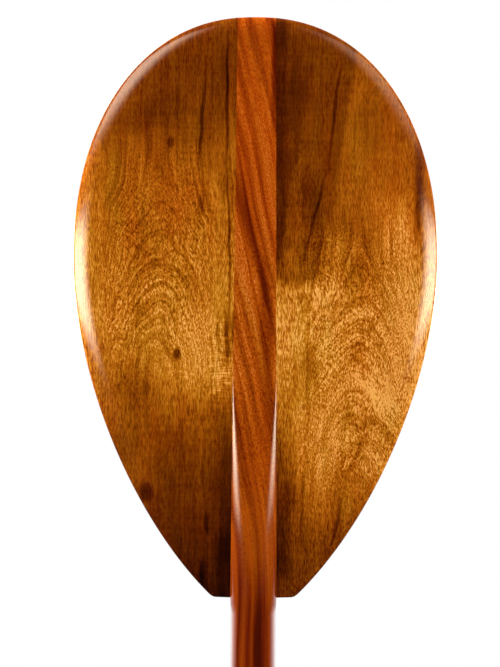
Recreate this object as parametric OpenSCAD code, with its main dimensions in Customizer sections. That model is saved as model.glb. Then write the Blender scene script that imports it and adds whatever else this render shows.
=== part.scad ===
// Single-blade wooden canoe paddle, blade up.
// Two blade wings are glued to the sides of one shaft, which runs as a spine to the blade's tip.
// Origin: on the shaft's axis, in the plane of the blade's shoulders.
// X is across the blade, Y through its thickness, and Z runs along the shaft to the tip.

/* [Blade] */
// Width of the blade at its widest place
blade_w = 260; // [230:1:280]
// Height of the blade's tip above its shoulders
blade_h = 414; // [380:1:450]
// Height of the widest place above the shoulders
widest_z = 240; // [220:1:260]
// Squareness of the rounded upper outline, where 2 is an ellipse
crown_power = 2.2; // [2:0.1:2.6]
// How soon the lower outline starts to draw in
taper_power = 1.78; // [1.6:0.02:2]
// How full the lower outline stays towards the shoulders
taper_fullness = 0.73; // [0.68:0.01:0.78]
// How far below the shoulders the lower outline would close on the axis
taper_overrun = 19.5; // [16:0.5:24]

/* [Blade thickness] */
// Half the blade's thickness beside the spine, near the shoulders
root_t = 8; // [7:0.5:9]
// Half the blade's thickness near the tip
tip_t = 4.6; // [4.4:0.1:5.5]
// Half the blade's thickness where the rounded rim starts
edge_t = 4.2; // [3:0.1:4.4]
// Width of the band over which the blade thins towards its outline
thinning_w = 60; // [40:5:80]
// Width of the rounded rim
rim_w = 14; // [9:1:17]
// Half the width of the flat left on the very edge
edge_land = 0.15; // [0.1:0.05:0.3]

/* [Shaft] */
// Diameter of the round shaft, an inch and a quarter
shaft_d = 31.75; // [29:0.25:32]
// Length of the whole paddle
overall_l = 1270; // [1100:10:1400]
// Width of the spine at the shoulders
spine_root_w = 33; // [32.5:0.5:35]
// Width of the spine at the tip
spine_tip_w = 27.3; // [24:0.1:30]
// Half the spine's thickness at the shoulders
spine_root_t = 16; // [15.5:0.1:17]
// Height above the shoulders at which the spine is flush with the wings
spine_fade_h = 160; // [120:5:200]
// Squareness of the spine's shoulders where it starts to stand proud, where 2 is an ellipse
ridge_power = 6; // [3:0.5:8]
// Height below the shoulders at which the spine has become the round shaft
flare_h = 12; // [8:1:20]

/* [Grip] */
// Width of the T-grip
grip_w = 120; // [100:2:130]
// Height of the grip below its joint with the shaft
grip_h = 38; // [36:1:42]
// Half the height of the grip's arms
arm_half_h = 12.5; // [11:0.5:13.5]
// How far the arms' ends bend back towards the shaft
arm_bend = 4; // [0:0.5:6]
// Diameter of the tenon on the shaft's end
tenon_d = 22; // [18:1:24]
// Length of the tenon
tenon_l = 27; // [22:1:30]

/* [Dowels] */
// Diameter of the dowels and of the grip pin
dowel_d = 6; // [5:0.5:7]
// Length of a blade dowel
dowel_l = 84; // [70:2:90]
// Height of the lowest dowel above the shoulders
dowel_first_z = 40; // [38:1:50]
// Distance between one dowel and the next
dowel_pitch = 50; // [40:1:55]

/* [Hidden] */

shaft_r = shaft_d / 2;
dowel_r = dowel_d / 2;
tenon_r = tenon_d / 2;
half_w = blade_w / 2;
crown_h = blade_h - widest_z;
taper_h = widest_z + taper_overrun;
// Height of the plane where the shaft's end sits on the grip, and heights below it
joint_z = blade_h - overall_l + grip_h;
arm_z = arm_half_h - grip_h;
pin_z = joint_z - 14;
// Space left for glue past the end of a dowel or tenon
glue_gap = 1;
// Chamfer on the end of a dowel or tenon
end_chamfer = 1;
// How far the grip pin's ends stand out of the grip
pin_proud = 0.2;
// Half-width of the small flats left on the sides of the spine where it meets the round shaft
flat_half = 2;
// The polygon under the spine stays this much inside the round shaft that it stands on
seam_inset = 0.03;
// Squareness of the grip's arms at their ends, and of their section
arm_power = 4;
arm_section_power = 3;
// Height of the cap on the grip's blank, which the joint plane cuts off
blank_cap = 10;
// The wings' blanks run this far below the shoulders, which a plane cuts off
blank_extra = 2;
// The wings stop this short of the corner between the glue plane and the upper outline
corner_trim = 1.2;
corner_trim_angle = 0.3;

wing_columns = 14;
wing_rows = 26;
crown_rows = 22;
spine_columns = 18;
spine_rows = 40;
flare_rows = 6;
grip_columns = 12;
grip_spokes = 56;
step = 0.01;
$fn = 64;

// ---- The blade's outline and thickness ----

// 1 on the blade's outline, less inside it
function outline_value(x, z) =
  z > widest_z
  ? pow(
      pow(x / half_w, crown_power) + pow((z - widest_z) / crown_h, crown_power),
      1 / crown_power
    )
  : pow(
      pow(x / half_w, 1 / taper_fullness) + pow((widest_z - z) / taper_h, taper_power),
      taper_fullness
    );

// Distance from a point inside the blade to its outline
function edge_distance(x, z) =
  let (
    across = outline_value(x + step, z) - outline_value(x, z),
    along = outline_value(x, z + step) - outline_value(x, z)
  )
  max(0, 1 - outline_value(x, z)) * step / norm([across, along]);

// Height of the upper outline over a point on the width
function crown_z(x) = widest_z + crown_h * pow(1 - pow(x / half_w, crown_power), 1 / crown_power);

// Half the width of the lower outline at a height
function taper_x(z) = half_w * pow(1 - pow((widest_z - z) / taper_h, taper_power), taper_fullness);

// 0 at the start of a span and 1 past its end, rising as a quarter of a circle
function round_rise(distance, span) = sqrt(1 - pow(1 - min(distance / span, 1), 2));

// The same, rising as a parabola
function soft_rise(distance, span) = 1 - pow(1 - min(distance / span, 1), 2);

// Half the blade's thickness, spine left out
function blade_t(x, z) =
  let (
    middle_t = tip_t + (root_t - tip_t) * pow(1 - min(z / blade_h, 1), 1.3),
    from_edge = edge_distance(x, z),
    full_t = edge_t + (middle_t - edge_t) * soft_rise(from_edge, thinning_w)
  )
  edge_land + (full_t - edge_land) * round_rise(from_edge, rim_w);

// Half the spine's width, which is where the glue planes are
function glue_x(z) = (spine_root_w - (spine_root_w - spine_tip_w) * z / blade_h) / 2;

// ---- Lofting ----

// A closed solid through a stack of rings that all have the same even number of points
module loft(rings) {
  size = len(rings[0]);
  last = (len(rings) - 1) * size;
  sides = [
    for (r = [0:len(rings) - 2], p = [0:size - 1])
      let (a = r * size + p, b = r * size + (p + 1) % size)
      each [[a, a + size, b], [b, a + size, b + size]]
  ];
  // Each end is closed by a strip between the ring's first half and its second
  low_end = [
    for (p = [0:size / 2 - 2])
      let (q = size - 1 - p)
      each [[p, p + 1, q], [p + 1, q - 1, q]]
  ];
  high_end = [for (face = low_end) [face[0] + last, face[2] + last, face[1] + last]];
  polyhedron(points = [for (ring = rings) each ring], faces = concat(sides, low_end, high_end));
}

// Ring of a solid that is alike in front and behind: its front points, then its back points
function two_sided(front) =
  concat(front, [for (k = [len(front) - 1:-1:0]) [front[k][0], -front[k][1], front[k][2]]]);

// ---- Wings ----

// The upper outline as an angle from the widest place, up to the glue plane
crown_angle = acos(pow(glue_x(blade_h) / half_w, crown_power / 2)) - corner_trim_angle;

function wing_ring(inner, outer) =
  two_sided([
    for (column = [0:wing_columns])
      let (
        share = 1 - pow(1 - column / wing_columns, 2),
        x = inner[0] + (outer[0] - inner[0]) * share,
        z = inner[1] + (outer[1] - inner[1]) * share
      )
      [x, -blade_t(x, z), z]
  ]);

function taper_ring(z) = wing_ring([glue_x(z), z], [taper_x(z), z]);

function crown_ring(share) =
  let (
    angle = crown_angle * share,
    inner_z = widest_z + (crown_h - corner_trim) * share,
    outer_x = half_w * pow(cos(angle), 2 / crown_power),
    outer_z = widest_z + crown_h * pow(sin(angle), 2 / crown_power)
  )
  wing_ring([glue_x(inner_z), inner_z], [outer_x, outer_z]);

module wing_blank() {
  loft(concat(
    [for (row = [0:wing_rows - 1]) taper_ring(-blank_extra + (widest_z + blank_extra) * row / wing_rows)],
    [for (row = [0:crown_rows]) crown_ring(row / crown_rows)]
  ));
}

module wing() {
  difference() {
    wing_blank();
    translate([0, -root_t * 2, -blank_extra * 2]) cube([half_w, root_t * 4, blank_extra * 2]);
    blade_dowel_bores();
  }
}

module right_wing() {
  color("peru") wing();
}

module left_wing() {
  color("peru") mirror([1, 0, 0]) wing();
}

// ---- Shaft and spine ----

// Half the spine's thickness: the blade's own, with a ridge that fades out upwards. The ridge is
// round at the shoulders of the blade, and flatter with softened edges further up.
function spine_t(share, x, z) =
  let (
    fade = min(z / spine_fade_h, 1),
    flush_t = blade_t(0, z),
    crest_t = flush_t + (spine_root_t - flush_t) * pow(1 - fade, 1.2),
    ridge = sqrt(pow(crest_t, 2) - pow(flush_t, 2)),
    power = 2 + (ridge_power - 2) * fade
  )
  norm([blade_t(abs(x), z), ridge * pow(max(1 - pow(abs(share), power), 0), 1 / power)]);

// Places of a ring's points across the spine, closer together towards its edges
function spine_share(column) = -cos(180 * column / spine_columns);

function spine_point(share, z) = [share * glue_x(z), -spine_t(share, share * glue_x(z), z), z];

// Above the shoulders the spine's rings bend up to follow the outline of the tip
function spine_ring(rise) =
  two_sided([
    for (column = [0:spine_columns])
      let (share = spine_share(column))
      spine_point(share, rise * crown_z(abs(share) * spine_tip_w / 2))
  ]);

// Below the shoulders each ring goes from the spine's section to the round shaft's
function flare_ring(blend) =
  let (
    round_x = sqrt(pow(shaft_r - seam_inset, 2) - pow(flat_half, 2)),
    half = glue_x(0) + (round_x - glue_x(0)) * blend,
    eased = blend * blend * (3 - 2 * blend)
  )
  two_sided([
    for (column = [0:spine_columns])
      let (
        share = spine_share(column),
        round_t = sqrt(pow(shaft_r - seam_inset, 2) - pow(share * round_x, 2)),
        root = spine_t(share, share * glue_x(0), 0)
      )
      [share * half, -(root + (round_t - root) * eased), -flare_h * blend]
  ]);

module spine() {
  loft(concat(
    [for (row = [flare_rows:-1:1]) flare_ring(row / flare_rows)],
    [for (row = [0:spine_rows]) spine_ring(1 - pow(1 - row / spine_rows, 1.5))]
  ));
}

module round_shaft() {
  translate([0, 0, joint_z]) cylinder(r = shaft_r, h = -flare_h - joint_z);
}

// A round peg along Z, chamfered at its lower end
module tenon() {
  translate([0, 0, joint_z - tenon_l]) {
    cylinder(r1 = tenon_r - end_chamfer, r2 = tenon_r, h = end_chamfer);
    translate([0, 0, end_chamfer]) cylinder(r = tenon_r, h = tenon_l - end_chamfer + 1);
  }
}

module shaft() {
  color("saddlebrown") difference() {
    union() {
      spine();
      round_shaft();
      tenon();
    }
    blade_dowel_bores();
    grip_pin_bore();
  }
}

// ---- Dowels ----

function dowel_z(index) = dowel_first_z + index * dowel_pitch;

module blade_dowel_bores() {
  for (index = [0:4])
    translate([0, 0, dowel_z(index)])
      rotate([0, 90, 0]) cylinder(r = dowel_r, h = dowel_l + 2 * glue_gap, center = true);
}

// A glued dowel along X, chamfered at both ends
module blade_dowel(index) {
  color("burlywood") translate([0, 0, dowel_z(index)]) rotate([0, 90, 0]) {
    cylinder(r = dowel_r, h = dowel_l - 2 * end_chamfer, center = true);
    for (side = [0, 1])
      mirror([0, 0, side]) translate([0, 0, dowel_l / 2 - end_chamfer])
        cylinder(r1 = dowel_r, r2 = dowel_r - end_chamfer, h = end_chamfer);
  }
}

// ---- Grip ----

// 0 in the middle of the neck or arms and 1 on the grip's outline, with a fillet between the two
function grip_value(x, drop) =
  let (
    above = max(drop, 0) / blank_cap,
    below = 2 * min(drop - arm_z, 0) / arm_half_h,
    neck = pow(x / shaft_r, 2) + above * above + below * below,
    across = abs(2 * x / grip_w),
    off_middle = abs(drop - arm_z - arm_bend * across * across) / arm_half_h,
    arm = pow(across, arm_power) + pow(off_middle, arm_section_power)
  )
  neck * arm / norm([neck, arm]);

// How far from the middle of the arms the outline is, found by halving the range
function spoke_length(angle, low = 0, high = 80, rounds = 22) =
  rounds == 0
  ? low
  : let (
      middle = (low + high) / 2,
      inside = grip_value(middle * cos(angle), arm_z + middle * sin(angle)) < 1
    )
    spoke_length(angle, inside ? middle : low, inside ? high : middle, rounds - 1);

spokes = [for (spoke = [0:grip_spokes - 1]) spoke_length(spoke * 360 / grip_spokes)];

// Ring of the grip at a share of its spokes' length, in front or behind
function grip_ring(share, side) = [
  for (spoke = [0:grip_spokes - 1])
    let (
      angle = spoke * 360 / grip_spokes,
      x = spokes[spoke] * share * cos(angle),
      drop = arm_z + spokes[spoke] * share * sin(angle),
      depth = shaft_r * sqrt(max(1 - grip_value(x, drop), 0))
    )
    [x, side * depth, joint_z + drop]
];

// Shares of a spoke at which the rings lie, closer together towards the outline
ring_shares = [for (column = [1:grip_columns - 1]) 1 - pow(1 - column / grip_columns, 2)];

module grip_blank() {
  loft(concat(
    [for (k = [0:len(ring_shares) - 1]) grip_ring(ring_shares[k], 1)],
    [grip_ring(1, 0)],
    [for (k = [len(ring_shares) - 1:-1:0]) grip_ring(ring_shares[k], -1)]
  ));
}

module grip_pin_bore() {
  translate([0, 0, pin_z]) rotate([90, 0, 0]) cylinder(r = dowel_r, h = 2 * shaft_d, center = true);
}

module grip() {
  color("peru") difference() {
    grip_blank();
    translate([-grip_w / 2, -grip_w / 2, joint_z]) cube([grip_w, grip_w, 2 * blank_cap]);
    translate([0, 0, joint_z - tenon_l - glue_gap]) cylinder(r = tenon_r, h = tenon_l + 2 * blank_cap);
    grip_pin_bore();
  }
}

module grip_pin() {
  color("saddlebrown") intersection() {
    grip_pin_bore();
    translate([0, 0, pin_z - shaft_r]) cylinder(r = shaft_r + pin_proud, h = shaft_d);
  }
}

shaft();
left_wing();
right_wing();
grip();
grip_pin();
blade_dowel(0);  // blade_dowel_1
blade_dowel(1);  // blade_dowel_2
blade_dowel(2);  // blade_dowel_3
blade_dowel(3);  // blade_dowel_4
blade_dowel(4);  // blade_dowel_5
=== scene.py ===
"""The looks of the wooden paddle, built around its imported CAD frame.

Shapes are worked out in millimetres, in the CAD's own frame: X across the blade, Y through its
thickness, Z along the shaft with 0 at the blade's shoulders. Meshes are made in metres.
"""

import math

import bpy
import numpy as np
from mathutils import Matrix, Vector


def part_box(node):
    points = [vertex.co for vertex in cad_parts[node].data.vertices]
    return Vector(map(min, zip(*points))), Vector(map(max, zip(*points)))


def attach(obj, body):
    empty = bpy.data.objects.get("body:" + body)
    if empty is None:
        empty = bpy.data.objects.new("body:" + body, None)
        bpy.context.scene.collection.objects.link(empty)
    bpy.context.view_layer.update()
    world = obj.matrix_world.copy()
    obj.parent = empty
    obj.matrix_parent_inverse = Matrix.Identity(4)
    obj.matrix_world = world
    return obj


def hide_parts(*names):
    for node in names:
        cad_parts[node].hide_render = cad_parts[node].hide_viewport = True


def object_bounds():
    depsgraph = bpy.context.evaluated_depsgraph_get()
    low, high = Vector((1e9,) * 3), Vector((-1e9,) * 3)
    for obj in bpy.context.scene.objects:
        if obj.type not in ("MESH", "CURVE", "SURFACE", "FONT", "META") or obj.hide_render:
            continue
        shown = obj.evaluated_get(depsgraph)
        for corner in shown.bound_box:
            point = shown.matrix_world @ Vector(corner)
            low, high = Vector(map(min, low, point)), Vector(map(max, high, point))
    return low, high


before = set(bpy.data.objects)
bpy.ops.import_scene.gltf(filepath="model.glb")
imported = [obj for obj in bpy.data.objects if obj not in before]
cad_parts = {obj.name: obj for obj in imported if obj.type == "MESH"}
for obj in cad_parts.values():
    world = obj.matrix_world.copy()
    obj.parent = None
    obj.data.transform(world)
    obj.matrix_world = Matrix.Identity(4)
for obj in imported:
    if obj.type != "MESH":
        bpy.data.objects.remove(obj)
cad_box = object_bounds()

MM = 0.001


def highest_mm(node):
    """Highest corner of a CAD node, in millimetres."""
    _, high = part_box(node)
    return np.array(high) / MM


# ---- Sizes ----

# Half the blade's width, its height, where the shaft stands on the grip, and the shaft's radius
HALF_W = highest_mm("right_wing")[0]
BLADE_H = highest_mm("shaft")[2]
JOINT_Z = highest_mm("grip")[2]
SHAFT_R = 15.875

# The outline of the blade
WIDEST_Z = 240.0
CROWN_H = BLADE_H - WIDEST_Z
CROWN_POWER = 2.2
TAPER_H = WIDEST_Z + 19.5
TAPER_POWER = 1.78
TAPER_FULLNESS = 0.73

# Half-thicknesses of the blade, the widths over which it thins and rounds off, and how its middle
# thins with height
ROOT_T = 8.0
TIP_T = 4.6
EDGE_T = 4.2
EDGE_LAND = 0.15
THINNING_W = 60.0
RIM_W = 14.0
THINNING_POWER = 1.3

# The spine: half-widths at its two ends, half-thickness at the shoulders, how far up it stands
# proud and how it fades, and how square it is. RIDGE_POWER is 6 in the CAD: the spine is rounder
# here, by up to half a millimetre, because its highlights in the photo are wide.
SPINE_ROOT_X = 16.5
SPINE_TIP_X = 13.65
SPINE_ROOT_T = 16.0
SPINE_FADE_H = 160.0
SPINE_FADE_POWER = 1.2
RIDGE_POWER = 4.5
FLARE_H = 12.0

# Radii of the softened edges at the shoulders
SHOULDER_R = 0.9
SHOULDER_CORNER_R = 2.5

# The grip
GRIP_HALF_W = 60.0
GRIP_H = 38.0
ARM_HALF_H = 12.5
ARM_Z = ARM_HALF_H - GRIP_H
ARM_BEND = 4.0
GRIP_CAP = 10.0

DOWEL_COUNT = 5


# ---- Blade shape ----


def outline_value(x, z):
    """1 on the blade's outline, less inside it."""
    rise = np.maximum(z - WIDEST_Z, 0) / CROWN_H
    drop = np.maximum(WIDEST_Z - z, 0) / TAPER_H
    upper = ((x / HALF_W) ** CROWN_POWER + rise**CROWN_POWER) ** (1 / CROWN_POWER)
    lower = ((x / HALF_W) ** (1 / TAPER_FULLNESS) + drop**TAPER_POWER) ** TAPER_FULLNESS
    return np.where(z > WIDEST_Z, upper, lower)


def edge_distance(x, z):
    """Distance from a point inside the blade to its outline."""
    step = 0.01
    here = outline_value(x, z)
    across = outline_value(x + step, z) - here
    along = outline_value(x, z + step) - here
    return np.maximum(1 - here, 0) * step / np.hypot(across, along)


def rise_round(distance, span):
    """0 at the start of a span and 1 past its end, as a quarter of a circle."""
    return np.sqrt(1 - (1 - np.clip(distance / span, 0, 1)) ** 2)


def rise_soft(distance, span):
    """0 at the start of a span and 1 past its end, as a parabola."""
    return 1 - (1 - np.clip(distance / span, 0, 1)) ** 2


def blade_t(x, z):
    """Half the blade's thickness, spine left out."""
    middle = TIP_T + (ROOT_T - TIP_T) * (1 - np.clip(z / BLADE_H, 0, 1)) ** THINNING_POWER
    distance = edge_distance(x, z)
    full = EDGE_T + (middle - EDGE_T) * rise_soft(distance, THINNING_W)
    return EDGE_LAND + (full - EDGE_LAND) * rise_round(distance, RIM_W)


def glue_x(z):
    """Half the spine's width at a height, which is where the glue planes are."""
    return SPINE_ROOT_X + (SPINE_TIP_X - SPINE_ROOT_X) * z / BLADE_H


def taper_x(z):
    """Half the width of the lower outline at a height, with its lowest corner rounded."""
    drop = (WIDEST_Z - z) / TAPER_H
    corner = SHOULDER_CORNER_R * (1 - rise_round(z, SHOULDER_CORNER_R))
    return HALF_W * (1 - drop**TAPER_POWER) ** TAPER_FULLNESS - corner


def crown_z(x):
    """Height of the upper outline over a place on the blade's width."""
    return WIDEST_Z + CROWN_H * (1 - (x / HALF_W) ** CROWN_POWER) ** (1 / CROWN_POWER)


# ---- Meshes ----

SHARP_ANGLE = math.radians(42)


def make_piece(name, points, faces):
    """A smooth-shaded mesh from points in millimetres, sharp where its faces meet at SHARP_ANGLE."""
    mesh = bpy.data.meshes.new(name)
    mesh.from_pydata((np.asarray(points) * MM).tolist(), [], faces)
    mesh.validate()
    mesh.shade_smooth()
    mesh.set_sharp_from_angle(angle=SHARP_ANGLE)
    piece = bpy.data.objects.new(name, mesh)
    bpy.context.scene.collection.objects.link(piece)
    return piece


def loft(name, rings):
    """A closed solid through rings of one even number of points, each listed front half first."""
    count, size = len(rings), len(rings[0])
    faces = []
    for ring in range(count - 1):
        for k in range(size):
            a = ring * size + k
            b = ring * size + (k + 1) % size
            faces.append((a, b, b + size, a + size))
    last = (count - 1) * size
    for k in range(size // 2 - 1):
        opposite = size - 1 - k
        faces.append((k, opposite, opposite - 1, k + 1))
        faces.append((last + k, last + k + 1, last + opposite - 1, last + opposite))
    return make_piece(name, np.concatenate(rings), faces)


def two_sided(x, half_t, z):
    """A ring that is alike in front and behind."""
    front = np.stack([x, -half_t, z], axis=1)
    back = np.stack([x, half_t, z], axis=1)[::-1]
    return np.concatenate([front, back])


def wing_ring(inner, outer, side, columns=56):
    """A ring round one blade half, from an (x, z) on its glue plane to one on its outline."""
    share = 1 - (1 - np.linspace(0, 1, columns)) ** 2
    x = inner[0] + (outer[0] - inner[0]) * share
    z = inner[1] + (outer[1] - inner[1]) * share
    softened = SHOULDER_R * (1 - rise_round(z, SHOULDER_R))
    half_t = np.maximum(blade_t(x, z) - softened, EDGE_LAND)
    ring = two_sided(side * x, half_t, z)
    return ring if side > 0 else ring[::-1]


def build_wing(name, side):
    """One blade half. side is 1 for the right and -1 for the left."""
    # The last ring stops short of the crown by this angle and height, so that it keeps some width
    short_angle = 0.002
    short_h = 0.8
    rings = []
    for share in np.linspace(0, 1, 130)[:-1] ** 1.6:
        z = WIDEST_Z * share
        rings.append(wing_ring((glue_x(z), z), (taper_x(z), z), side))
    top_angle = math.acos((glue_x(BLADE_H) / HALF_W) ** (CROWN_POWER / 2)) - short_angle
    for share in np.linspace(0, 1, 110):
        angle = top_angle * share
        inner_z = WIDEST_Z + (CROWN_H - short_h) * share
        outer_x = HALF_W * math.cos(angle) ** (2 / CROWN_POWER)
        outer_z = WIDEST_Z + CROWN_H * math.sin(angle) ** (2 / CROWN_POWER)
        rings.append(wing_ring((glue_x(inner_z), inner_z), (outer_x, outer_z), side))
    return loft(name, rings)


def spine_section(z, share):
    """Half the spine's thickness at a height, at shares of its half-width."""
    x = np.abs(share) * glue_x(z)
    fade = np.clip(z / SPINE_FADE_H, 0, 1)
    flush = blade_t(np.zeros_like(x), z)
    crest = flush + (SPINE_ROOT_T - flush) * (1 - fade) ** SPINE_FADE_POWER
    ridge = np.sqrt(crest**2 - flush**2)
    power = 2 + (RIDGE_POWER - 2) * fade
    return np.hypot(blade_t(x, z), ridge * np.maximum(1 - np.abs(share) ** power, 0) ** (1 / power))


def side_points(half_x, half_t, z, count):
    """Points up the flat side of the spine, without its two edges, from front to back."""
    y = np.linspace(-half_t, half_t, count + 2)[1:-1]
    return np.stack([np.full(count, half_x), y, np.full(count, z)], axis=1)


def build_shaft(columns=48, side_count=8):
    """The spine, the flare under it and the round shaft, as one skin."""
    share = -np.cos(np.linspace(0, math.pi, columns))

    def ring(x, half_t, z):
        front = np.stack([x, -half_t, z], axis=1)
        right = side_points(x[-1], half_t[-1], z[-1], side_count)
        back = np.stack([x, half_t, z], axis=1)[::-1]
        left = side_points(x[0], half_t[0], z[0], side_count)[::-1]
        return np.concatenate([front, right, back, left])

    def spine_ring(rise):
        z = rise * crown_z(np.abs(share) * SPINE_TIP_X)
        return ring(share * glue_x(z), spine_section(z, share), z)

    zero = np.zeros(columns)
    root = ring(share * glue_x(0), spine_section(zero, share), zero)
    # The round section takes the same points at angles that suit the corners of the root section
    corner = math.asin(spine_section(zero, share)[0] / SHAFT_R)
    front_angles = np.linspace(math.pi - corner, corner, columns)
    side_angles = np.linspace(corner, -corner, side_count + 2)[1:-1]
    angles = np.concatenate(
        [front_angles, side_angles, -front_angles[::-1], math.pi + side_angles]
    )
    circle = np.stack([np.cos(angles), -np.sin(angles), np.zeros(len(angles))], axis=1)

    rings = []
    for z in np.linspace(JOINT_Z, -FLARE_H - 20, 12):
        rings.append(circle * SHAFT_R + [0, 0, z])
    for blend in np.linspace(1, 0, 16)[:-1]:
        eased = blend * blend * (3 - 2 * blend)
        rings.append(root * (1 - eased) + circle * SHAFT_R * eased + [0, 0, -FLARE_H * blend])
    for t in np.linspace(0, 1, 150):
        rings.append(spine_ring(1 - (1 - t) ** 1.5))
    # Start every ring half-way up its left side, so that the end strips run straight across
    shift = side_count // 2
    return loft("shaft_skin", [np.roll(r, shift, axis=0) for r in rings])


# ---- Grip shape ----


def grip_value(x, drop):
    """0 in the middle of the grip's neck or arms, 1 on its outline, with a fillet between them."""
    above = np.maximum(drop, 0) / GRIP_CAP
    below = 2 * np.minimum(drop - ARM_Z, 0) / ARM_HALF_H
    neck = (x / SHAFT_R) ** 2 + above**2 + below**2
    across = np.abs(x) / GRIP_HALF_W
    off_middle = np.abs(drop - ARM_Z - ARM_BEND * across**2) / ARM_HALF_H
    arm = across**4 + off_middle**3
    return neck * arm / np.maximum(np.hypot(neck, arm), 1e-9)


def spoke_lengths(angles):
    """How far the grip's outline is from the middle of its arms, found by halving the range."""
    low = np.zeros_like(angles)
    high = np.full_like(angles, 80.0)
    for _ in range(30):
        middle = (low + high) / 2
        inside = grip_value(middle * np.cos(angles), ARM_Z + middle * np.sin(angles)) < 1
        low = np.where(inside, middle, low)
        high = np.where(inside, high, middle)
    return low


def build_grip(spokes=240, columns=44):
    """The T-grip. Its neck is cut off flat where the shaft stands on it."""
    angles = np.arange(spokes) * 2 * math.pi / spokes
    lengths = spoke_lengths(angles)

    def ring(share, side):
        x = lengths * share * np.cos(angles)
        drop = ARM_Z + lengths * share * np.sin(angles)
        depth = SHAFT_R * np.sqrt(np.maximum(1 - grip_value(x, drop), 0))
        return np.stack([x, side * depth, JOINT_Z + np.minimum(drop, 0)], axis=1)

    shares = [1 - (1 - k / columns) ** 2 for k in range(1, columns)]
    rings = [ring(share, 1) for share in shares]
    rings.append(ring(1, 0))
    rings += [ring(share, -1) for share in reversed(shares)]
    return loft("grip_skin", [r[::-1] for r in rings])


# ---- Node graphs ----

# Colour areas go right through a board, so an oval has no end in Y
THROUGH = 1e6


class Graph:
    """Adds nodes to one node tree, and hands back their output sockets."""

    def __init__(self, tree):
        self.tree = tree
        self.tree.nodes.clear()

    def node(self, kind, inputs=None, **settings):
        made = self.tree.nodes.new(kind)
        for key, value in settings.items():
            setattr(made, key, value)
        for key, value in (inputs or {}).items():
            if isinstance(value, bpy.types.NodeSocket):
                self.tree.links.new(value, made.inputs[key])
            else:
                made.inputs[key].default_value = value
        return made

    def math(self, operation, a, b=0.0, c=0.0):
        return self.node("ShaderNodeMath", {0: a, 1: b, 2: c}, operation=operation).outputs[0]

    def vector_math(self, operation, a, b=(0, 0, 0), c=(0, 0, 0)):
        made = self.node("ShaderNodeVectorMath", {0: a, 1: b, 2: c}, operation=operation)
        return made.outputs["Value" if operation == "LENGTH" else "Vector"]

    def add(self, *values):
        total = values[0]
        for value in values[1:]:
            total = self.math("ADD", total, value)
        return total

    def times(self, a, b):
        return self.math("MULTIPLY", a, b)

    def mix(self, a, b, share):
        return self.math("MULTIPLY_ADD", self.math("SUBTRACT", b, a), share, a)

    def mix_shaders(self, share, a, b):
        return self.node("ShaderNodeMixShader", {0: share, 1: a, 2: b}).outputs[0]

    def steps(self, value, low, high, out_low=0.0, out_high=1.0):
        """Goes smoothly from out_low to out_high as the value goes from low to high."""
        inputs = {0: value, 1: low, 2: high, 3: out_low, 4: out_high}
        made = self.node("ShaderNodeMapRange", inputs, interpolation_type="SMOOTHSTEP")
        return made.outputs[0]

    def combine(self, x=0.0, y=0.0, z=0.0):
        return self.node("ShaderNodeCombineXYZ", {0: x, 1: y, 2: z}).outputs[0]

    def noise(self, point, size, amount=1.0, seed=0.0, detail=1.0, roughness=0.5):
        """Noise around 0 with features of that size in X, Y and Z, mostly within +-amount / 2."""
        scale = [1 / s for s in size]
        moved = self.vector_math("MULTIPLY_ADD", point, scale, (seed, seed * 1.7, seed * 0.6))
        inputs = {"Vector": moved, "Scale": 1.0, "Detail": detail, "Roughness": roughness}
        raw = self.node("ShaderNodeTexNoise", inputs).outputs[0]
        return self.math("MULTIPLY_ADD", raw, 2 * amount, -amount)

    def bend(self, point, size, x_amount, z_amount, seed=0.0):
        """The point moved about a little in X and Z, so that what is drawn there wavers."""
        x_shift = self.noise(point, size, x_amount, seed)
        z_shift = self.noise(point, size, z_amount, seed + 5.3)
        return self.vector_math("ADD", point, self.combine(x_shift, 0, z_shift))

    def area(self, point, place, size, change, soft=0.8, tilt=0.0):
        """A value that is change in the middle of an oval across X and Z, and 0 outside it."""
        inputs = {
            "Vector": point,
            "Location": (place[0], 0, place[1]),
            "Rotation": (0, math.radians(tilt), 0),
            "Scale": (size[0], THROUGH, size[1]),
        }
        local = self.node("ShaderNodeMapping", inputs, vector_type="TEXTURE").outputs[0]
        return self.steps(self.vector_math("LENGTH", local), 1 - soft, 1, change, 0)

    def strip(self, point, sides, ends, change, lean=0.0, soft=3.0):
        """A value that is change between two upright sides, which lean as they rise, and 0 outside."""
        x, _, z = self.node("ShaderNodeSeparateXYZ", {0: point}).outputs
        x = self.math("MULTIPLY_ADD", z, -lean, x)
        inside = change
        for value, (low, high), blur in ((x, sides, soft), (z, ends, 2 * soft)):
            inside = self.times(self.steps(value, low - blur, low + blur), inside)
            inside = self.times(self.steps(value, high - blur, high + blur, 1, 0), inside)
        return inside

    def ramp(self, value, stops):
        """A ramp through (position, colour) stops."""
        made = self.node("ShaderNodeValToRGB", {0: value})
        elements = made.color_ramp.elements
        while len(elements) < len(stops):
            elements.new(1.0)
        for element, (position, colour) in zip(elements, stops):
            element.position = position
            element.color = (*colour, 1.0)
        return made.outputs[0]

    def heights(self, z, low, high, stops):
        """A value that follows (height, value) stops."""
        share = self.node("ShaderNodeMapRange", {0: z, 1: low, 2: high}).outputs[0]
        return self.ramp(share, [((h - low) / (high - low), (v, v, v)) for h, v in stops])


def to_linear(colour):
    """A display colour from 0 to 255 as linear light."""
    share = np.array(colour) / 255
    linear = np.where(share <= 0.04045, share / 12.92, ((share + 0.055) / 1.055) ** 2.4)
    return tuple(float(v) for v in linear)


def by_tone(colours):
    """Ramp stops for colours that are picked by how bright their red is."""
    return [(colour[0] / 255, to_linear(colour)) for colour in colours]


# ---- Woods ----

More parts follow.
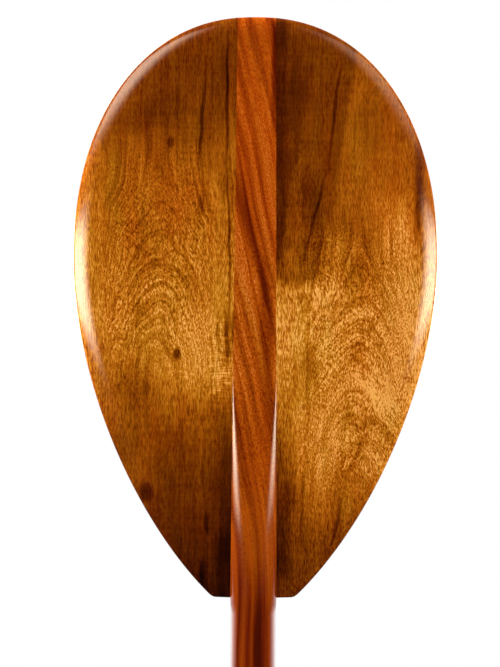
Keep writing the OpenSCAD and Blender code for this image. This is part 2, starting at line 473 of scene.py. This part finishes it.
# Colours of each wood, from its darkest streaks to its palest figure
KOA_REDDER = [
    (24, 3, 1), (60, 12, 1), (99, 33, 1), (134, 58, 3), (165, 78, 8), (190, 100, 17), (212, 121, 30),
    (245, 163, 76),
]
KOA_GOLDER = [
    (24, 6, 1), (60, 20, 1), (99, 43, 2), (134, 70, 4), (165, 94, 11), (190, 117, 22), (212, 138, 38),
    (245, 179, 88),
]
MAHOGANY_REDDER = [
    (40, 5, 1), (85, 16, 1), (119, 34, 1), (145, 53, 4), (170, 67, 5), (190, 85, 12), (225, 125, 50),
]
MAHOGANY_GOLDER = [
    (40, 7, 2), (85, 21, 1), (119, 42, 2), (145, 65, 6), (170, 82, 9), (190, 102, 20), (225, 143, 64),
]
DOWEL_PALER = [(90, 50, 22), (160, 116, 68), (210, 170, 118), (250, 218, 170)]
DOWEL_DARKER = [(90, 44, 16), (160, 106, 56), (210, 160, 102), (250, 208, 152)]
LEVEL = 1 / 255

# Varnish: how rough the wood under it is, less in the paler grain, and how deep the pores are
WOOD_ROUGHNESS = 0.45
GRAIN_SMOOTHNESS = -0.1
PORE_DEPTH = 0.2 * MM

# How steeply growth arches fall away to their sides, how round they are at the top, how gently
# they bend, and where they fade out: below, above and beside their middle
ARCH_SLOPE = 3.0
ARCH_ROUND = 75.0
ARCH_BLUR = 40.0
ARCH_START = (-50, 10)
ARCH_END = (20, 60)
ARCH_SIDE = (24, 52)

# What makes the koa's pattern waver: the size of the waves in X, Y and Z, and how far they shift
# it in X and in Z. Areas, streaks and growth lines waver differently.
AREA_WAVES = ((22, 60, 40), 9, 14)
STREAK_WAVES = ((60, 60, 26), 2.6, 6)
RING_WAVES = ((35, 40, 45), 7, 9)
RING_SHAKES = ((9, 20, 14), 1.4, 2.0)
HEIGHT_WAVES = ((30, 60, 60), 18)

# Noise in the koa: the size of its features in X, Y and Z, and its strength. Along growth lines
# the first size is across the lines.
RING_BANDS = ((2.4, 40, 160), 40 * LEVEL)
RING_SHADES = ((9, 40, 200), 20 * LEVEL)
RING_LINES = ((9, 60, 200), 1.0)
RING_LINE_EDGE = 0.12
RING_LINE_CHANGE = -30 * LEVEL
KOA_FIBRES = ((2.0, 20, 55), 26 * LEVEL)
KOA_CLOUDS = ((9, 30, 22), 18 * LEVEL)
KOA_CURL = ((26, 30, 2.6), 12 * LEVEL)
KOA_RIPPLE = ((8, 30, 1.0), 1.0)
KOA_HUE = ((10, 40, 50), 0.8)
SHORT_PORES = ((0.8, 1.4, 2.0), 1.0)
LONG_PORES = ((0.8, 1.4, 4.6), 1.0)

# The share of short pores in straight grain, and what the arches add to it
SHORT_SHARE = 0.15
SHORT_SHARE_ARCHED = 0.75

# Pores are mostly dark, so their noise is capped on its bright side, softly
PORE_CAP_BLUR = 0.3
KOA_PORE_CAP = 0.24
KOA_PORE_BASE = 0.985
KOA_PORE_HUE = 0.3

# Noise in plain woods: the width and the length of its features, and its strength
PLAIN_WAVES = ((40, 30, 40), 2, 2)
PLAIN_BANDS = (6, 150, 44 * LEVEL)
PLAIN_FIBRES = (1.6, 40, 26 * LEVEL)
PLAIN_PORES = (0.8, 3.4, 1.0)
PLAIN_HUE = (10, 80, 0.9)
PLAIN_PORE_STRENGTH = 0.6

# Mahogany: its ribbons lean from a height up, and are capped on their bright side
SPINE_FOOT_Z = -50
RIBBON_LEAN = 0.22
RIBBON_LEAN_Z = 50.0
RIBBON_LEAN_BLUR = 60.0
SPINE_WAVES = ((30, 30, 90), 3, 0)
RIBBONS = ((4.6, 14, 150), 96 * LEVEL)
RIBBON_CAP = 12 * LEVEL
RIBBON_CAP_BLUR = 10 * LEVEL
THREADS = ((1.1, 6, 40), 18 * LEVEL)
MAHOGANY_PORES = ((0.8, 1.2, 1.7), 1.0)
MAHOGANY_PORE_CAP = 0.2
MAHOGANY_HUE = ((7, 20, 120), 0.8)
# Between these heights it turns redder
REDDENING = (200, 320, 0, -0.3)


def finish_wood(g, tone, colours, hue, pores):
    """The varnished surface over a wood whose tone is known, and where between its two colour
    ranges it lies: the first for a hue of -0.5 and the second for 0.5."""
    first, second = [g.ramp(tone, by_tone(stops)) for stops in colours]
    inputs = {0: g.math("ADD", hue, 0.5), 6: first, 7: second}
    colour = g.node("ShaderNodeMix", inputs, data_type="RGBA", clamp_factor=True).outputs[2]
    roughness = g.math("MULTIPLY_ADD", pores, GRAIN_SMOOTHNESS, WOOD_ROUGHNESS)
    pits, film = [
        g.node("ShaderNodeBump", {"Strength": strength, "Distance": PORE_DEPTH, "Height": pores})
        for strength in (0.25, 0.05)
    ]
    shader = g.node(
        "ShaderNodeBsdfPrincipled",
        {
            "Base Color": colour,
            "Roughness": roughness,
            "Specular IOR Level": 0.0,
            "Normal": pits.outputs[0],
            "Coat Weight": 1.0,
            "Coat Roughness": 0.09,
            "Coat Normal": film.outputs[0],
        },
    )
    g.node("ShaderNodeOutputMaterial", {"Surface": shader.outputs[0]})


def new_material(name):
    material = bpy.data.materials.new(name)
    material.use_nodes = True
    g = Graph(material.node_tree)
    place = g.node("ShaderNodeTexCoord").outputs["Object"]
    point = g.vector_math("MULTIPLY", place, (1 / MM, 1 / MM, 1 / MM))
    x, y, z = g.node("ShaderNodeSeparateXYZ", {0: point}).outputs
    return material, g, point, (x, y, z)


def arch_field(g, point, middle, low, high):
    """A field whose lines of equal value are the arched growth lines of a flat-sawn board."""
    x, _, z = g.node("ShaderNodeSeparateXYZ", {0: point}).outputs
    off = g.times(g.math("SUBTRACT", x, middle), ARCH_SLOPE)
    spread = g.math("SQRT", g.math("MULTIPLY_ADD", off, off, ARCH_ROUND**2))
    climb = g.math("SMOOTH_MAX", z, low, ARCH_BLUR)
    climb = g.math("SMOOTH_MIN", climb, high, ARCH_BLUR)
    return g.add(climb, spread)


def arched_share(g, x, z, middle, low, high):
    """1 where a board's growth lines are arched, and 0 where its grain is straight."""
    off_axis = g.math("ABSOLUTE", g.math("SUBTRACT", x, middle))
    start = g.steps(z, low + ARCH_START[0], low + ARCH_START[1])
    end = g.steps(z, high + ARCH_END[0], high + ARCH_END[1], 1, 0)
    return g.times(g.times(start, end), g.steps(off_axis, *ARCH_SIDE, 1, 0))


def growth_figure(g, field, y, z, seed):
    """Fine bands and a few thin dark lines along the growth lines."""
    along = g.combine(field, y, z)
    bands = g.noise(along, *RING_BANDS, seed, detail=1.5)
    shades = g.noise(along, *RING_SHADES, seed + 8)
    from_line = g.math("ABSOLUTE", g.noise(along, *RING_LINES, seed + 1, detail=1))
    return g.add(bands, shades, g.steps(from_line, 0.0, RING_LINE_EDGE, RING_LINE_CHANGE, 0))


def add_areas(g, total, point, areas, unit=LEVEL, soft=0.8):
    """A value with the changes of (place, size, change, tilt) ovals added to it."""
    for place, size, change, tilt in areas:
        total = g.add(total, g.area(point, place, size, change * unit, soft=soft, tilt=tilt))
    return total


def koa_pores(g, fine, rough, arched, seed):
    """Long pores in straight grain, and mostly short ones among the arches."""
    short = g.noise(rough, *SHORT_PORES, seed + 13, detail=1, roughness=0.6)
    long = g.noise(fine, *LONG_PORES, seed + 17, detail=1, roughness=0.6)
    share = g.math("MULTIPLY_ADD", arched, SHORT_SHARE_ARCHED, SHORT_SHARE)
    return g.math("SMOOTH_MIN", g.mix(long, short, share), KOA_PORE_CAP, PORE_CAP_BLUR)


def koa(name, middle, arches, tones, specks, shades, hues, seed):
    """One figured koa board, seen from its flat side.

    middle is where its growth arches are centred and arches the heights between which they bend.
    tones and specks are (height, level) and (height, strength) stops. shades holds four lists of
    tone changes: broad areas, thin streaks, straight-sided strips and areas with fine crosswise
    ripples. hues are areas that are golder than the rest, or redder.
    """
    material, g, point, (x, y, z) = new_material(name)
    soft = g.bend(point, *AREA_WAVES, seed=seed)
    fine = g.bend(point, *STREAK_WAVES, seed=seed + 2)
    rough = g.bend(g.bend(point, *RING_WAVES, seed=seed + 3), *RING_SHAKES, seed=seed)
    field = arch_field(g, rough, middle, *arches)
    arched = arched_share(g, x, z, middle, *arches)

    areas, streaks, strips, ripples = shades
    height = g.math("ADD", z, g.noise(point, *HEIGHT_WAVES, seed + 23, detail=2))
    tone = g.heights(height, 0, BLADE_H, [(h, level * LEVEL) for h, level in tones])
    tone = add_areas(g, tone, soft, areas)
    tone = add_areas(g, tone, fine, streaks, soft=0.7)
    for sides, ends, change, lean in strips:
        tone = g.add(tone, g.strip(fine, sides, ends, change * LEVEL, lean))

    figure = g.times(growth_figure(g, field, y, z, seed), arched)
    fibres = g.noise(fine, *KOA_FIBRES, seed + 5, detail=1.5)
    clouds = g.noise(point, *KOA_CLOUDS, seed + 7, detail=1.5)
    curl = g.noise(point, *KOA_CURL, seed + 11)
    ripple = g.noise(fine, *KOA_RIPPLE, seed + 29, detail=1)
    rippled = g.times(ripple, add_areas(g, 0.0, fine, ripples))
    tone = g.add(tone, figure, fibres, clouds, curl, rippled)

    pores = koa_pores(g, fine, rough, arched, seed)
    strength = g.heights(z, 0, BLADE_H, specks)
    tone = g.times(tone, g.math("MULTIPLY_ADD", pores, strength, KOA_PORE_BASE))

    hue = g.noise(soft, *KOA_HUE, seed + 19, detail=2)
    hue = g.add(hue, g.times(pores, KOA_PORE_HUE))
    hue = add_areas(g, hue, soft, hues, unit=1)
    finish_wood(g, tone, (KOA_REDDER, KOA_GOLDER), hue, pores)
    return material


def plain_wood(name, colours, level, grain_axis, scale, seed):
    """A quieter board or peg: straight grain along one axis, finer for a smaller scale."""
    material, g, point, _ = new_material(name)
    bent = g.bend(point, *PLAIN_WAVES, seed=seed)

    def layer(width, length, amount, offset, **settings):
        size = [length * scale if axis == grain_axis else width * scale for axis in "XYZ"]
        return g.noise(bent, size, amount, seed + offset, **settings)

    bands = layer(*PLAIN_BANDS, 2, detail=1.5)
    fibres = layer(*PLAIN_FIBRES, 3, detail=1.5)
    pores = layer(*PLAIN_PORES, 5, detail=1, roughness=0.6)
    hue = layer(*PLAIN_HUE, 7)
    tone = g.add(level * LEVEL, bands, fibres)
    tone = g.times(tone, g.math("MULTIPLY_ADD", pores, PLAIN_PORE_STRENGTH, 1.0))
    finish_wood(g, tone, colours, hue, pores)
    return material


def mahogany(name):
    """The ribbon-grained wood of the shaft and spine. The ribbons run slanted up the blade."""
    material, g, point, (_, y, z) = new_material(name)
    slant = g.times(g.math("SMOOTH_MAX", z, RIBBON_LEAN_Z, RIBBON_LEAN_BLUR), RIBBON_LEAN)
    bent = g.bend(point, *SPINE_WAVES, seed=4.4)
    bent_x = g.node("ShaderNodeSeparateXYZ", {0: bent}).outputs[0]
    across = g.combine(g.add(bent_x, slant), y, z)

    tone = g.heights(z, SPINE_FOOT_Z, BLADE_H, [(h, level * LEVEL) for h, level in SPINE_TONES])
    ribbons = g.noise(across, *RIBBONS, 1.3, detail=1.5)
    ribbons = g.math("SMOOTH_MIN", ribbons, RIBBON_CAP, RIBBON_CAP_BLUR)
    threads = g.noise(across, *THREADS, 6.2, detail=1)
    tone = add_areas(g, g.add(tone, ribbons, threads), bent, SPINE_STREAKS)

    pores = g.noise(across, *MAHOGANY_PORES, 9.1, detail=1, roughness=0.6)
    pores = g.math("SMOOTH_MIN", pores, MAHOGANY_PORE_CAP, PORE_CAP_BLUR)
    strength = g.heights(z, SPINE_FOOT_Z, BLADE_H, SPINE_SPECKS)
    tone = g.times(tone, g.math("MULTIPLY_ADD", pores, strength, 1.0))
    hue = g.add(g.noise(across, *MAHOGANY_HUE, 12.7), g.steps(z, *REDDENING))
    finish_wood(g, tone, (MAHOGANY_REDDER, MAHOGANY_GOLDER), hue, pores)
    return material


# ---- Where each board is darker and paler ----

# TONES are (height, level of 255), and SPECKS are (height, strength of the pores).
# AREAS, STREAKS and RIPPLES are ovals: (middle in X and Z, half-size, change of level, tilt).
# STRIPS are (sides, ends, change of level, lean), and HUES are ovals that change the hue.
SPINE_TONES = [
    (-50, 112), (-15, 118), (10, 130), (30, 150), (60, 162), (80, 156), (120, 154), (150, 170),
    (160, 180), (180, 180), (220, 179), (260, 174), (300, 173), (340, 168), (400, 158),
]
SPINE_SPECKS = [(-50, 0.06), (40, 0.25), (120, 0.55), (240, 0.5), (300, 0.42), (400, 0.36)]
SPINE_STREAKS = [
    ((-2, 256), (7, 66), -40, -14),
    ((8.5, 198), (7, 62), -58, -3),
    ((13, 370), (4, 60), -60, 0),
]

# The left wing's tones fall off towards the bottom and the top: partly the board's own colour, partly
# painted shade where the light fades away from the blade's middle.
LEFT_TONES = [
    (0, 60), (20, 75), (40, 84), (60, 95), (80, 104), (100, 118), (120, 142), (140, 160), (160, 180),
    (200, 200), (240, 192), (280, 174), (300, 166), (320, 152), (335, 132), (350, 118), (380, 110),
    (414, 110),
]
LEFT_SPECKS = [(0, 0.5), (100, 0.5), (150, 0.78), (260, 0.78), (330, 0.5), (414, 0.46)]
LEFT_AREAS = [
    # Golden and paler here: partly the koa's own colour, partly painted sheen of its curly figure.
    ((-36, 168), (42, 44), 28, 0),
    # Darker beside the spine low down: partly the board's own colour, partly painted shade in the
    # crease where the spine stands proud.
    ((-20, 80), (16, 90), -30, 0),
    ((-18, 185), (11, 26), -40, 0),
    ((-75, 150), (6, 10), -30, 0),
    ((-90, 150), (18, 24), -22, 0),
    ((-84, 84), (20, 44), 25, 12),
    ((-84, 200), (14, 16), -20, 0),
    ((-100, 136), (14, 30), 18, 0),
    ((-62, 345), (18, 26), -18, 0),
    ((-80, 340), (16, 20), -18, 0),
    ((-80, 256), (18, 36), -18, 0),
    ((-78, 138), (14, 34), -16, 0),
    ((-20, 290), (9, 28), -18, 0),
    ((-20, 345), (10, 26), 16, 0),
]
LEFT_STREAKS = [
    ((-56, 175), (4, 4.5), -100, 0),
    ((-77, 76), (8, 9), -50, 0),
    ((-60, 324), (4, 5), -46, 0),
    ((-20.5, 350), (1.8, 64), -58, 0),
    ((-19.5, 250), (1.5, 74), -58, -1),
    ((-15, 188), (2, 34), -50, 0),
    ((-20, 182), (2.4, 26), -60, 0),
    ((-26, 186), (2.2, 20), -50, 0),
    ((-31, 180), (1.6, 12), -30, 0),
    ((-38, 340), (2, 50), -50, 4),
    ((-40, 277), (3.2, 12), -46, 3),
    ((-33, 52), (3, 14), -34, 0),
    ((-36, 16), (3, 16), -34, 0),
]
LEFT_STRIPS = [
    # A dark strip beside the spine at the bottom: partly the board's own colour, partly painted shade
    # where the spine stands proud.
    ((-27, -10), (-20, 44), -20, 0),
]
LEFT_RIPPLES = [
    ((-24, 165), (14, 50), 64, 0),
]
LEFT_HUES = [
    # Golder here: partly the koa's own colour, partly painted sheen of its curly figure.
    ((-50, 190), (80, 80), 0.3, 0),
    ((-50, 285), (16, 50), -0.4, 0),
]
# The right wing's tones also fall off towards the bottom and the top: partly the board's own colour,
# partly painted shade where the light fades away from the blade's middle.
RIGHT_TONES = [
    (0, 96), (20, 112), (40, 124), (55, 146), (70, 168), (90, 192), (110, 210), (150, 216), (200, 212),
    (225, 188), (240, 176), (280, 166), (320, 158), (360, 152), (414, 150),
]
RIGHT_SPECKS = [(0, 0.76), (230, 0.84), (270, 0.66), (330, 0.42), (414, 0.4)]
RIGHT_AREAS = [
    # Darker beside the spine low down: partly the board's own colour, partly painted shade in the
    # crease where the spine stands proud.
    ((16, 80), (20, 80), -68, 0),
    ((26, 335), (10, 80), -26, 0),
    ((112, 200), (26, 80), 20, 0),
    ((102, 260), (20, 42), 46, 0),
    ((110, 226), (16, 30), 18, 0),
    ((117.5, 298), (7, 50), -56, 3),
    ((71, 174), (6, 11), -26, 0),
    ((70, 133), (5, 14), -22, 0),
    ((62, 80), (6, 14), -30, 0),
    ((86, 90), (12, 14), 16, 0),
    ((40, 166), (10, 24), -36, 0),
    ((26, 150), (14, 42), -26, 0),
    ((42, 286), (13, 30), -26, 0),
    ((60, 268), (12, 18), -26, 0),
    ((22, 242), (10, 12), 22, 0),
    ((48, 218), (18, 11), 26, 0),
    ((80, 128), (8, 9), -24, 0),
    ((60, 118), (8, 16), 18, 0),
    ((90, 146), (20, 26), 30, 0),
    ((58, 38), (10, 26), -10, 0),
    ((82, 340), (14, 34), -20, 0),
    ((78, 112), (8, 12), -34, 0),
    # Darker beside the spine at the bottom: partly the board's own colour, partly painted shade where
    # the spine stands proud.
    ((20, 22), (14, 22), -28, 0),
    ((40, 150), (12, 40), -10, 0),
]
RIGHT_STREAKS = [
    ((56, 345), (1.8, 50), -40, 7),
    ((42, 272), (1.8, 50), -40, 13),
    ((38, 150), (1.6, 60), -24, 0),
    ((88, 146), (4, 28), 26, -50),
    ((35, 75), (2, 50), -34, 2),
    ((60, 58), (2, 34), -36, 14),
    ((70, 96), (2.4, 26), -34, 22),
    ((46, 106), (2.4, 40), 22, 4),
]
RIGHT_STRIPS = [
    ((-60, 13), (226, 460), -38, 0.15),
    ((-5, 21), (232, 410), -44, 0),
]
RIGHT_RIPPLES = [
    ((24, 150), (10, 60), 30, 0),
]
RIGHT_HUES = [
    # Golder here: partly the koa's own colour, partly painted sheen of its curly figure.
    ((40, 180), (30, 90), 0.4, 0),
    ((104, 290), (26, 100), -0.4, 0),
]


# ---- Stage, light and camera ----

# A softbox is warm, and fades between these distances from its middle, as shares of its size
SOFTBOX_COLOUR = (1.0, 0.82, 0.6)
SOFTBOX_FADE = (0.15, 0.5)

# The two sides: name, direction in X, height of the softbox, and the radiance of the softbox, of
# the light on the blade's edge and of the softbox beside the crown
LIGHT_SIDES = (
    ("left", -1, 0.22, 26.0, 34.0, 10.0),
    ("right", 1, 0.23, 20.0, 12.0, 2.5),
)
# Where the lights stand for the right side and the back, in metres, how wide and high they are,
# and what they are aimed at. The softboxes' heights are in LIGHT_SIDES.
SOFTBOX_PLACE = (0.85, 0.65)
SOFTBOX_SIZE = (1.4, 0.4)
CROWN_PLACE = (0.62, 0.72, 0.88)
CROWN_SIZE = (1.1, 0.8)
CROWN_AIM = (0, 0, 0.36)
EDGE_PLACE = (0.5, 0.06, 0.72)
EDGE_SIZE = (0.1, 0.6)
EDGE_AIM = (0, 0, 0.34)

# Directions that the fill lights come from, their strength and how many degrees wide they are
FILL = ((1, 1, 0.4), 0.8, 30)
SIDE_FILL = ((1, 0.25, 0.2), 0.75, 15)

FLOOR_COLOUR = (0.82, 0.82, 0.8, 1)
FLOOR_GAP = 1 * MM


def make_world():
    """White behind the paddle. The varnish mirrors a dark room at its front and white walls behind
    the paddle, except for dark cards square to both faces, and little from below."""
    world = bpy.data.worlds.new("studio")
    bpy.context.scene.world = world
    world.use_nodes = True
    g = Graph(world.node_tree)
    toward = g.node("ShaderNodeTexCoord").outputs["Generated"]
    _, depth, height = g.node("ShaderNodeSeparateXYZ", {0: toward}).outputs
    dark, white = 0.02, 3.0
    walls = g.steps(depth, 0.0, 0.65, dark, white)
    off_cards = g.steps(g.math("ABSOLUTE", depth), 0.93, 0.97, 1.0, 0.0)
    above = g.steps(height, -0.4, -0.05, 0.1, 1.0)
    path = g.node("ShaderNodeLightPath").outputs
    mirrored = g.node("ShaderNodeBackground", {"Strength": g.times(g.times(walls, off_cards), above)})
    filling = g.node("ShaderNodeBackground", {"Strength": 0.3})
    seen = g.node("ShaderNodeBackground", {"Color": (1, 1, 1, 1), "Strength": 1.0})
    for shader in (mirrored, filling):
        shader.inputs["Color"].default_value = (1, 1, 1, 1)
    unseen = g.mix_shaders(path["Is Glossy Ray"], filling.outputs[0], mirrored.outputs[0])
    surface = g.mix_shaders(path["Is Camera Ray"], unseen, seen.outputs[0])
    g.node("ShaderNodeOutputWorld", {"Surface": surface})


def add_light(name, data, place, aim):
    light = bpy.data.objects.new(name, data)
    light.location = place
    direction = Vector(aim) - Vector(place)
    light.rotation_euler = direction.to_track_quat("-Z", "Y").to_euler()
    light.visible_camera = False
    bpy.context.scene.collection.objects.link(light)
    return light


def make_area_light(name, place, aim, width, height, radiance):
    data = bpy.data.lights.new(name, "AREA")
    data.shape = "RECTANGLE"
    data.size = width
    data.size_y = height
    data.energy = radiance * math.pi * width * height
    return add_light(name, data, place, aim)


def make_softbox(name, place, aim, width, height, radiance):
    """A rectangular light that fades towards its edges, there for its reflection in the varnish."""
    light = make_area_light(name, place, aim, width, height, radiance)
    light.data.color = SOFTBOX_COLOUR
    light.visible_diffuse = False
    light.data.use_nodes = True
    g = Graph(light.data.node_tree)
    spot = g.node("ShaderNodeNewGeometry").outputs["Parametric"]
    u, v, _ = g.node("ShaderNodeSeparateXYZ", {0: spot}).outputs
    strength = 1.0
    for across in (u, v):
        off_middle = g.math("ABSOLUTE", g.math("SUBTRACT", across, 0.5))
        strength = g.times(g.steps(off_middle, *SOFTBOX_FADE, 1, 0), strength)
    emission = g.node("ShaderNodeEmission", {"Strength": strength})
    g.node("ShaderNodeOutputLight", {"Surface": emission.outputs[0]})


def make_fill(name, toward, strength, spread):
    """A broad even light from far off, which lights the wood and leaves no reflection."""
    data = bpy.data.lights.new(name, "SUN")
    data.energy = strength
    data.angle = math.radians(spread)
    light = add_light(name, data, toward, (0, 0, 0))
    light.visible_glossy = False


def turn(place, x, y):
    """A place that is given for the right side and the back, on the side x and the face y."""
    return (x * place[0], y * place[1], place[2])


def make_lights():
    """The same lights in front of the paddle and behind it, so that both faces show."""
    for side, x, z, shine, glow, crown_shine in LIGHT_SIDES:
        for facing, y in (("front", -1), ("back", 1)):
            name = f"{facing}_{side}"
            beside = turn((*SOFTBOX_PLACE, z), x, y)
            make_softbox(f"{name}_softbox", beside, (0, 0, z), *SOFTBOX_SIZE, shine)
            crown = turn(CROWN_PLACE, x, y)
            make_softbox(f"{name}_crown_softbox", crown, CROWN_AIM, *CROWN_SIZE, crown_shine)
            for kind, (toward, strength, spread) in (("fill", FILL), ("side_fill", SIDE_FILL)):
                make_fill(f"{name}_{kind}", turn(toward, x, y), strength, spread)
            edge = turn(EDGE_PLACE, x, y)
            light = make_area_light(f"{name}_edge_light", edge, EDGE_AIM, *EDGE_SIZE, glow)
            light.visible_glossy = False


def make_floor():
    """A wide pale disc just under the grip."""
    radius = 3.0
    count = 96
    z = cad_box[0][2] - FLOOR_GAP
    angles = [2 * math.pi * k / count for k in range(count)]
    mesh = bpy.data.meshes.new("floor")
    rim = [(radius * math.cos(a), radius * math.sin(a), z) for a in angles]
    mesh.from_pydata(rim, [], [range(count)])
    floor = bpy.data.objects.new("floor", mesh)
    bpy.context.scene.collection.objects.link(floor)
    material = bpy.data.materials.new("pale_floor")
    material.use_nodes = True
    g = Graph(material.node_tree)
    shader = g.node("ShaderNodeBsdfPrincipled", {"Base Color": FLOOR_COLOUR, "Roughness": 0.9})
    g.node("ShaderNodeOutputMaterial", {"Surface": shader.outputs[0]})
    floor.data.materials.append(material)
    floor.visible_glossy = False


def make_camera():
    """A long lens square to the blade's front face, rolled a little."""
    distance = 1.8
    frame_height = 0.476
    middle_x = -3.5 * MM
    middle_z = 188 * MM
    roll = math.radians(-0.35)
    data = bpy.data.cameras.new("camera")
    data.sensor_fit = "VERTICAL"
    data.sensor_height = 36.0
    data.lens = data.sensor_height * distance / frame_height
    camera = bpy.data.objects.new("camera", data)
    camera.location = (middle_x, -distance, middle_z)
    camera.rotation_euler = (math.radians(90), roll, 0)
    bpy.context.scene.collection.objects.link(camera)
    bpy.context.scene.camera = camera


# ---- The paddle ----


def stand_in(piece, node, material):
    """Puts a finished piece on the frame in place of its CAD node."""
    piece.data.materials.append(material)
    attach(piece, "root")
    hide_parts(node)


def finish_node(node, material):
    """Gives a CAD node that stays as it is the material it is made of."""
    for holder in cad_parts[node].material_slots:
        holder.material = material


make_camera()
make_world()
make_lights()
make_floor()
left_koa = koa(
    "koa_left",
    middle=-69.0,
    arches=(180.0, 290.0),
    tones=LEFT_TONES,
    specks=LEFT_SPECKS,
    shades=(LEFT_AREAS, LEFT_STREAKS, LEFT_STRIPS, LEFT_RIPPLES),
    hues=LEFT_HUES,
    seed=2.0,
)
right_koa = koa(
    "koa_right",
    middle=72.0,
    arches=(90.0, 230.0),
    tones=RIGHT_TONES,
    specks=RIGHT_SPECKS,
    shades=(RIGHT_AREAS, RIGHT_STREAKS, RIGHT_STRIPS, RIGHT_RIPPLES),
    hues=RIGHT_HUES,
    seed=21.0,
)
stand_in(build_shaft(), "shaft", mahogany("mahogany"))
stand_in(build_wing("left_wing_skin", -1), "left_wing", left_koa)
stand_in(build_wing("right_wing_skin", 1), "right_wing", right_koa)
grip_koa = plain_wood("koa_grip", (KOA_REDDER, KOA_GOLDER), 172, "X", 1.0, 41.0)
stand_in(build_grip(), "grip", grip_koa)
pin_wood = plain_wood("mahogany_pin", (MAHOGANY_REDDER, MAHOGANY_GOLDER), 120, "Y", 0.5, 53.0)
finish_node("grip_pin", pin_wood)
dowel_wood = plain_wood("dowel_wood", (DOWEL_PALER, DOWEL_DARKER), 200, "X", 0.5, 61.0)
for number in range(1, DOWEL_COUNT + 1):
    finish_node(f"blade_dowel_{number}", dowel_wood)

bpy.context.scene.view_settings.view_transform = "Standard"
